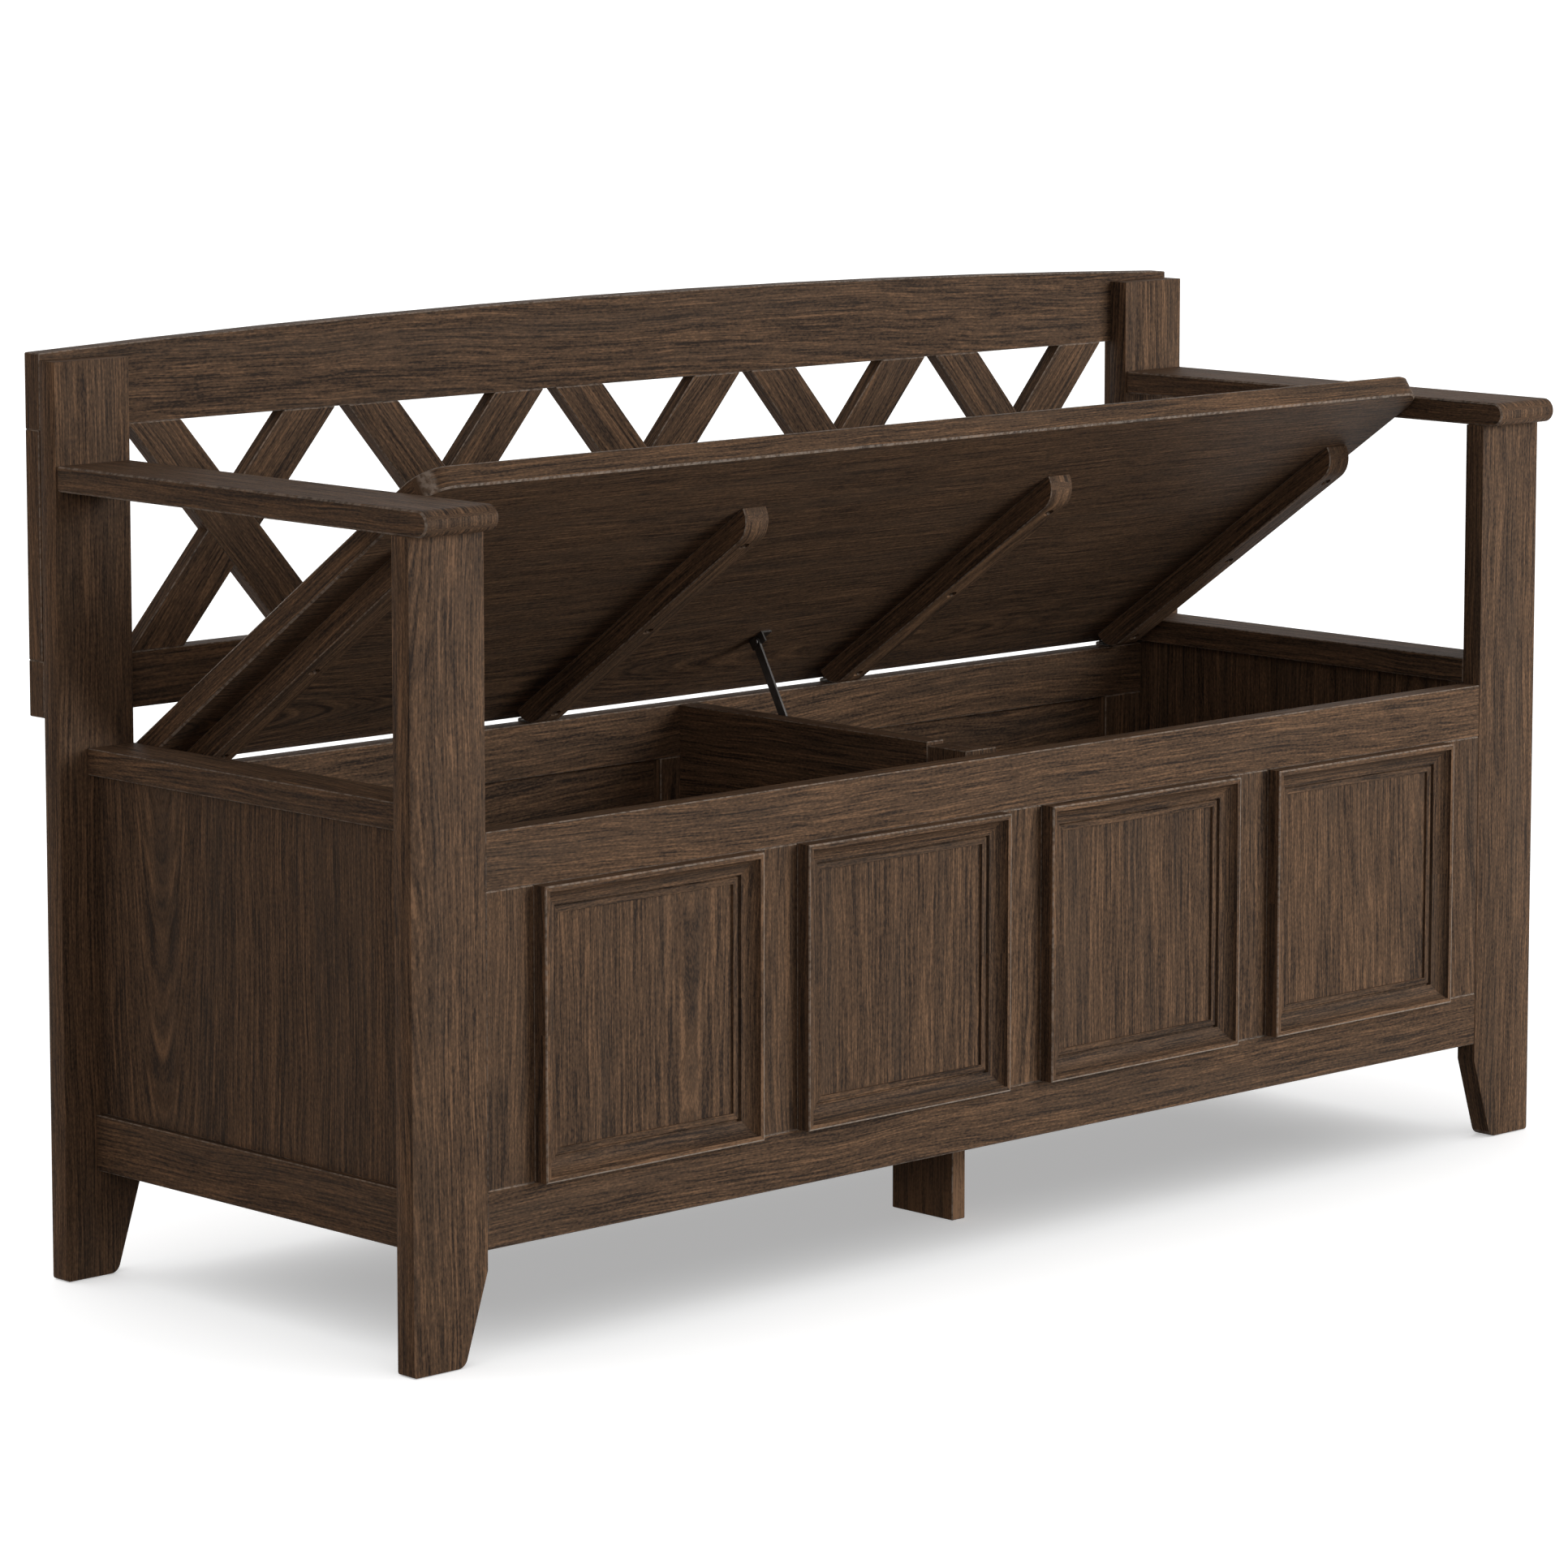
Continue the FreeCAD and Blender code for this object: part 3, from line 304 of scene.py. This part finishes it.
def steel(name, colour, roughness):
    """Dark plated steel, a little uneven and finely scratched."""
    sheet = Sheet(bpy.data.materials.new(name))
    x, y, z = sheet.split(sheet.node("TexCoord").outputs["Object"])
    haze = sheet.clouds(x * 90, y * 90, z * 90, detail=3.0)
    scratch = sheet.clouds(x * 3000, y * 260, z * 260, detail=2.0)
    shade = sheet.blend(haze.between(0.35, 0.75) * 0.3, colour, stain(38, 35, 33))
    bump = sheet.node("Bump", {"Height": scratch, "Strength": 0.12, "Distance": 0.0001})
    return sheet.finish({"Base Color": shade, "Metallic": 1.0, "Normal": bump.outputs[0],
                         "Roughness": (scratch - 0.5) * 0.2 + (haze - 0.5) * 0.2 + roughness})


def paint(piece, material):
    piece.data.materials.clear()
    piece.data.materials.append(material)


# How each board lies: the way of its grain, and the face that it shows
RAIL = (RIGHT, -BACK)
POST = (UP, -BACK)
DEPTH_EDGE = (BACK, RIGHT)
DEPTH_FLAT = (BACK, UP)
SIDE_UPRIGHT = (UP, RIGHT)
FLOOR_BOARD = (RIGHT, UP)
LID_BOARD = (RIGHT, LID_TOP)
LID_STRIP = (LID_ALONG, LID_TOP)
FALLING = (Vector((math.cos(SLAT_SLOPE), 0, -math.sin(SLAT_SLOPE))), -BACK)
RISING = (Vector((math.cos(SLAT_SLOPE), 0, math.sin(SLAT_SLOPE))), -BACK)

LAYS = (
    ("front_leg", POST), ("rear_leg", POST), ("centre_leg", SIDE_UPRIGHT), ("armrest", DEPTH_FLAT),
    ("front_bottom_rail", RAIL), ("front_top_rail", RAIL), ("front_stile", POST), ("front_panel", POST),
    ("panel_moulding", RAIL), ("side_cap", DEPTH_FLAT), ("side_panel", SIDE_UPRIGHT),
    ("side_bottom_rail", DEPTH_EDGE), ("rear_bottom_rail", RAIL), ("rear_top_rail", RAIL),
    ("rear_box_stiles", POST), ("rear_box_panels", RAIL), ("floor_panels", FLOOR_BOARD),
    ("cleats_and_bearers", POST), ("divider_panel", DEPTH_EDGE), ("divider_posts", POST),
    ("back_bottom_rail", RAIL), ("back_top_rail", RAIL), ("back_stile", POST),
    ("lattice_falling", FALLING), ("lattice_rising", RISING), ("lid_board", LID_BOARD),
    ("lid_battens", LID_STRIP),
)
for name in sorted(nodes):
    lay = next((lay for stem, lay in LAYS if name.startswith(stem)), None)
    if lay:
        paint(nodes[name], timber(name + "_walnut", *lay, *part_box(name),
                                  rounded=name.startswith(("armrest", "lid_battens")),
                                  mitred=name.startswith("panel_moulding")))

PLATED = steel("plated_steel", stain(96, 92, 89), 0.44)
DARK_STEEL = steel("dark_steel", stain(50, 46, 43), 0.42)
for name in ("hinge_frame_leaves", "hinge_lid_leaves", "hinge_pins", "batten_screws"):
    paint(nodes[name], DARK_STEEL)
for name in ("stay_upper_arm", "stay_lower_arm", "stay_base_plate", "stay_lid_bracket"):
    paint(nodes[name], PLATED)


def deselect():
    bpy.ops.object.select_all(action="DESELECT")


def make_active(piece):
    deselect()
    piece.select_set(True)
    bpy.context.view_layer.objects.active = piece


def stand_for(piece, name):
    """Let a finished piece ride with the body of the node that it stands for, in place of the node, which
    is hidden.
    """
    piece.name = name + "_finished"
    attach(piece, node_body[name])
    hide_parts(name)


def merged_copy(name):
    """A copy of a node with its triangles joined."""
    piece = nodes[name].copy()
    piece.data = nodes[name].data.copy()
    piece.parent = None
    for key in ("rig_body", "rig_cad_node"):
        if key in piece:
            del piece[key]
    bpy.context.scene.collection.objects.link(piece)
    make_active(piece)
    bpy.ops.object.mode_set(mode="EDIT")
    bpy.ops.mesh.select_all(action="SELECT")
    bpy.ops.mesh.remove_doubles(threshold=0.000002)
    bpy.ops.mesh.select_all(action="DESELECT")
    bpy.ops.object.mode_set(mode="OBJECT")
    bpy.ops.mesh.customdata_custom_splitnormals_clear()
    return piece


def smooth(piece):
    make_active(piece)
    bpy.ops.object.shade_smooth_by_angle(angle=SMOOTH_BELOW)


for name in sorted(nodes):
    if name.startswith(("armrest", "panel_moulding", "lid_", "back_top_rail", "stay", "hinge")):
        piece = merged_copy(name)
        smooth(piece)
        stand_for(piece, name)


def select_edges(piece, wanted):
    """Leave the piece in edit mode with those edges selected whose two ends pass the test."""
    bpy.ops.object.mode_set(mode="EDIT")
    bpy.ops.mesh.select_mode(type="EDGE")
    bpy.ops.mesh.select_all(action="DESELECT")
    bpy.ops.object.mode_set(mode="OBJECT")
    points = piece.data.vertices
    for edge in piece.data.edges:
        edge.select = all(wanted(points[number].co) for number in edge.vertices)
    bpy.ops.object.mode_set(mode="EDIT")


def add_bevel(piece, width, segments):
    bevel = piece.modifiers.new("ease", "BEVEL")
    bevel.width = width
    bevel.segments = segments
    bevel.limit_method = "ANGLE"
    bevel.angle_limit = math.radians(10)
    bpy.ops.object.modifier_apply(modifier=bevel.name)


# Legs, their feet tapered on the inner side and rounded at their lower corners
FOOT_HEIGHT = 0.070
FOOT_TAPER = 0.0225
INNER_CORNER = 0.0062
OUTER_CORNER = 0.0026
EASE = 0.0008
HAIR = 0.0002
for name in ("front_leg_left", "front_leg_right", "rear_leg_left", "rear_leg_right"):
    low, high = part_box(name)
    inner_x = high.x if name.endswith("left") else low.x
    outer_x = low.x if name.endswith("left") else high.x
    taper = FOOT_TAPER if inner_x < outer_x else -FOOT_TAPER
    deselect()
    bpy.ops.mesh.primitive_cube_add(size=1, location=(low + high) / 2, scale=high - low)
    leg = bpy.context.object
    bpy.ops.object.transform_apply(location=True, rotation=True, scale=True)
    bpy.ops.object.mode_set(mode="EDIT")
    bpy.ops.mesh.select_all(action="SELECT")
    bpy.ops.mesh.bisect(plane_co=(0, 0, FOOT_HEIGHT), plane_no=(0, 0, 1))
    bpy.ops.object.mode_set(mode="OBJECT")
    select_edges(leg, lambda point: point.z < HAIR and abs(point.x - inner_x) < HAIR)
    bpy.ops.transform.translate(value=(taper, 0, 0))
    bpy.ops.mesh.bevel(offset=INNER_CORNER, segments=6, affect="EDGES")
    bpy.ops.object.mode_set(mode="OBJECT")
    select_edges(leg, lambda point: point.z < HAIR and abs(point.x - outer_x) < HAIR)
    bpy.ops.mesh.bevel(offset=OUTER_CORNER, segments=4, affect="EDGES")
    bpy.ops.object.mode_set(mode="OBJECT")
    make_active(leg)
    add_bevel(leg, EASE, 2)
    smooth(leg)
    paint(leg, nodes[name].data.materials[0])
    stand_for(leg, name)


# Screws sunk in the battens, with a cross recess in each head
RECESS_WIDTH = 0.0008
RECESS_REACH = 0.0017
RECESS_DEPTH = 0.0013
lid_way = Matrix((RIGHT, LID_ALONG, LID_TOP))


def middles_of_heads(screws):
    """The middle of each screw head's outer face, found from the screws' separate meshes."""
    make_active(screws)
    bpy.ops.object.duplicate()
    bpy.ops.mesh.separate(type="LOOSE")
    singles = list(bpy.context.selected_objects)
    middles = []
    for single in singles:
        xs, alongs, tops = zip(*(lid_way @ vertex.co for vertex in single.data.vertices))
        middle = Vector(((min(xs) + max(xs)) / 2, (min(alongs) + max(alongs)) / 2, min(tops)))
        middles.append(lid_way.transposed() @ middle)
    bpy.ops.object.delete()
    return middles


def add_cross(middle):
    """A small block with an arm drawn out of each of its four sides."""
    deselect()
    bpy.ops.mesh.primitive_cube_add(size=1, scale=(RECESS_WIDTH, RECESS_WIDTH, 2 * RECESS_DEPTH))
    cross = bpy.context.object
    for face in cross.data.polygons:
        face.select = abs(face.normal.z) < 0.5
    bpy.ops.object.mode_set(mode="EDIT")
    bpy.ops.mesh.select_mode(type="FACE")
    bpy.ops.mesh.extrude_faces_move(TRANSFORM_OT_shrink_fatten={"value": RECESS_REACH})
    bpy.ops.object.mode_set(mode="OBJECT")
    cross.data.transform(Matrix.Translation(middle) @ Matrix.Rotation(-LID_OPEN, 4, "X"))
    return cross


screws = merged_copy("batten_screws")
crosses = [add_cross(middle) for middle in middles_of_heads(screws)]
deselect()
for cross in crosses:
    cross.select_set(True)
bpy.context.view_layer.objects.active = crosses[0]
bpy.ops.object.join()
make_active(screws)
recess = screws.modifiers.new("recess", "BOOLEAN")
recess.operation = "DIFFERENCE"
recess.object = crosses[0]
bpy.ops.object.modifier_apply(modifier=recess.name)
make_active(crosses[0])
bpy.ops.object.delete()
smooth(screws)
stand_for(screws, "batten_screws")


def white_rays(sheet):
    """1 for the rays that see the room directly or in a shine, and 0 for the light in it."""
    rays = sheet.node("LightPath").outputs
    camera, glossy, through = [Field(sheet, rays[f"Is {kind} Ray"]) for kind in
                               ("Camera", "Glossy", "Transmission")]
    return camera.most(glossy).most(through)


# Floor, white where the camera looks and calm for the light that it throws back
FLOOR_SIZE = 60
FLOOR_BELOW_FEET = 0.0005
SHADOW_GLOW = 0.40
AMBIENT = 0.18
bpy.ops.mesh.primitive_plane_add(size=FLOOR_SIZE, location=(0, 0, -FLOOR_BELOW_FEET))
floor = bpy.context.object
floor.name = "floor"
sheet = Sheet(bpy.data.materials.new("white_floor"))
seen = white_rays(sheet)
lit = sheet.node("BsdfDiffuse", {"Color": (0.93, 0.93, 0.93, 1)})
glow = sheet.node("Emission", {"Color": (1, 1, 1, 1), "Strength": SHADOW_GLOW})
bright = sheet.node("AddShader", {0: lit.outputs[0], 1: glow.outputs[0]})
calm = sheet.node("BsdfDiffuse", {"Color": (0.16, 0.16, 0.16, 1)})
mixed = sheet.node("MixShader", {0: seen, 1: calm.outputs[0], 2: bright.outputs[0]})
sheet.node("OutputMaterial", {"Surface": mixed.outputs[0]})
paint(floor, sheet.owner)

# Studio walls: white to the eye, and a low even light on the bench
world = bpy.data.worlds.new("studio")
bpy.context.scene.world = world
sheet = Sheet(world)
seen = white_rays(sheet)
ambient = sheet.node("Background", {"Color": (1, 1, 1, 1), "Strength": AMBIENT})
white = sheet.node("Background", {"Color": (1, 1, 1, 1), "Strength": 1.0})
mixed = sheet.node("MixShader", {0: seen, 1: ambient.outputs[0], 2: white.outputs[0]})
sheet.node("OutputWorld", {"Surface": mixed.outputs[0]})

# Lamps: the floor has its own sun, and the others leave it out
floor_only = bpy.data.collections.new("floor_only")
floor_only.objects.link(floor)
all_but_floor = bpy.data.collections.new("all_but_floor")
all_but_floor.objects.link(floor)
all_but_floor.collection_objects[0].light_linking.link_state = "EXCLUDE"


def lamp(kind, name, place, aim, power, colour, receivers, **settings):
    data = bpy.data.lights.new(name, kind)
    data.energy = power
    data.color = colour
    for key, value in settings.items():
        setattr(data, key, value)
    made = bpy.data.objects.new(name, data)
    bpy.context.scene.collection.objects.link(made)
    made.location = place
    made.rotation_euler = (Vector(aim) - Vector(place)).to_track_quat("-Z", "Y").to_euler()
    made.light_linking.receiver_collection = receivers


lamp("AREA", "front_key", (2.2, -3.6, 1.3), (0.1, 0, 0.35), 158, (0.93, 0.97, 1.0), all_but_floor,
     shape="RECTANGLE", size=2.6, size_y=2.1)
lamp("AREA", "left_fill", (-4.4, 1.1, 1.1), (-0.3, 0, 0.35), 19, (1.0, 0.90, 0.82), all_but_floor,
     shape="RECTANGLE", size=1.8, size_y=2.0)
lamp("AREA", "near_fill", (-3.3, -3.1, 1.5), (0.1, 0, 0.35), 28, (1.0, 0.93, 0.87), all_but_floor,
     shape="RECTANGLE", size=1.6, size_y=1.2)
lamp("AREA", "rear_fill", (0.3, 4.5, 0.9), (0, 0, 0.35), 45, (1.0, 0.97, 0.93), all_but_floor,
     shape="RECTANGLE", size=2.0, size_y=1.4)
lamp("SUN", "floor_sun", (0.0, 0.2, 5.0), (0, 0, 0), 2.6, (1, 1, 1), floor_only,
     angle=math.radians(125))

# Camera at the photograph's viewing angle
YAW, PITCH = math.radians(43.6377), math.radians(-7.4387)
look = Vector((math.sin(YAW) * math.cos(PITCH), math.cos(YAW) * math.cos(PITCH), math.sin(PITCH)))
view = bpy.data.cameras.new("camera")
view.lens = 141.5
view.sensor_width = 36
view.shift_y = -0.1
camera = bpy.data.objects.new("camera", view)
bpy.context.scene.collection.objects.link(camera)
camera.location = (-3.4792, -3.5937, 1.1311)
camera.rotation_euler = look.to_track_quat("-Z", "Y").to_euler()
bpy.context.scene.camera = camera
bpy.context.scene.view_settings.view_transform = "Standard"
